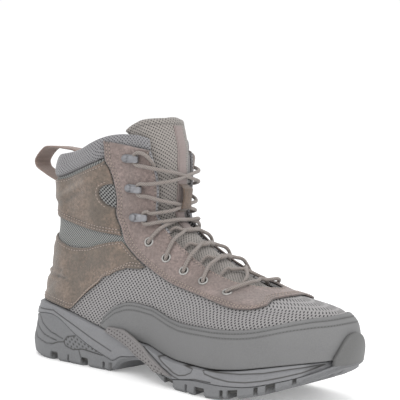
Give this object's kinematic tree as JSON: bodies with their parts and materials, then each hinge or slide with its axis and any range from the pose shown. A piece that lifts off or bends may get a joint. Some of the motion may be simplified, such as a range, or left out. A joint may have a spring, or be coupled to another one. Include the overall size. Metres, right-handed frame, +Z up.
{
  "type": "tactical boot",
  "caption": "Right mid-height tactical boot with lugged sole, suede and mesh upper, laced throat with speed hooks, padded collar and heel pull loop.",
  "frame": {"origin": "middle of the boot's outline at floor level", "axes": "+X to the toe, +Y to the medial side, +Z up"},
  "size_m": [0.325, 0.1122, 0.2059],
  "materials": {
    "outsole": "matt",
    "midsole": "matt foam",
    "arch_frame": "dotted",
    "insole": "cloth",
    "upper": "coarse mesh",
    "rand": "smooth matt",
    "suede": "suede",
    "collar": "padded mesh",
    "tongue": "padded mesh",
    "pull_loop": "ribbed webbing",
    "metal": "matt grey",
    "lace": "braided"
  },
  "bodies": {
    "root": {"outsole": "outsole", "midsole": "midsole", "arch_frame_lateral": "arch_frame", "arch_frame_medial": "arch_frame", "insole": "insole", "upper": "upper", "rand": "rand", "heel_panel": "suede", "ankle_panel": "suede", "eyestay": "suede", "collar": "collar", "tongue": "tongue", "lace_keeper": "suede", "pull_loop": "pull_loop", "hook_lateral_1": "metal", "hook_lateral_2": "metal", "hook_lateral_3": "metal", "hook_medial_1": "metal", "hook_medial_2": "metal", "hook_medial_3": "metal", "eyelet_lateral_1": "metal", "eyelet_lateral_2": "metal", "eyelet_lateral_3": "metal", "eyelet_lateral_4": "metal", "eyelet_lateral_5": "metal", "eyelet_medial_1": "metal", "eyelet_medial_2": "metal", "eyelet_medial_3": "metal", "eyelet_medial_4": "metal", "eyelet_medial_5": "metal", "lace_bar": "lace", "lace_cross_1": "lace", "lace_cross_2": "lace", "lace_cross_3": "lace", "lace_cross_4": "lace", "lace_cross_5": "lace", "lace_cross_6": "lace", "lace_cross_7": "lace"}
  },
  "joints": []
}
